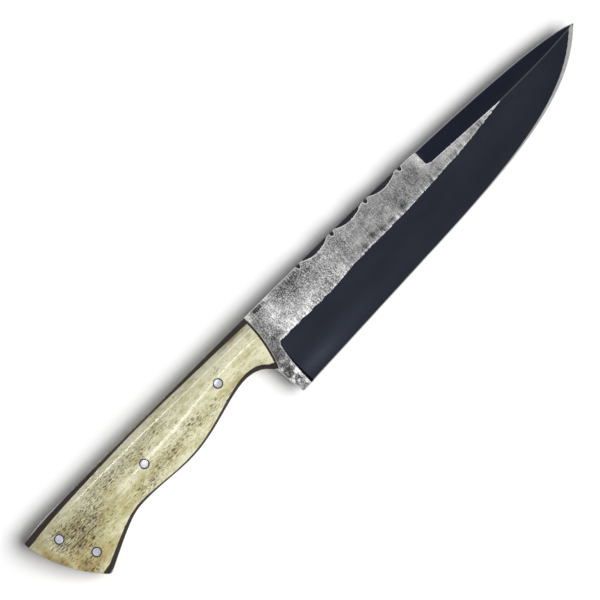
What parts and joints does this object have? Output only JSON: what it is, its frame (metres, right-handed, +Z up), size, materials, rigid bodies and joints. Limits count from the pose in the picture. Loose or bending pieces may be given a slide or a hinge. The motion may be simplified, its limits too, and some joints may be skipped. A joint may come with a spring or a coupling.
{
  "type": "barbecue knife",
  "caption": "Hand-forged full-tang barbecue knife with a false edge by the tip, filework on the spine and pinned bone scales over dark liners.",
  "frame": {"origin": "middle of the bounding box in plan, at its bottom, where the knife lies on the ground on its back scale", "axes": "+X along the knife to the tip, +Y to the spine, +Z up out of the front side, square to the blade"},
  "size_m": [0.3298, 0.0412, 0.0205],
  "materials": {
    "forged_steel": "forge-scaled flats, dark polished bevels",
    "liner": "polished dark brown fibre",
    "bone": "polished bone with dark pores",
    "pin_metal": "polished"
  },
  "bodies": {
    "root": {"blade": "forged_steel", "front_liner": "liner", "back_liner": "liner", "front_scale": "bone", "back_scale": "bone", "front_pin": "pin_metal", "middle_pin": "pin_metal", "butt_upper_pin": "pin_metal", "butt_lower_pin": "pin_metal"}
  },
  "joints": []
}
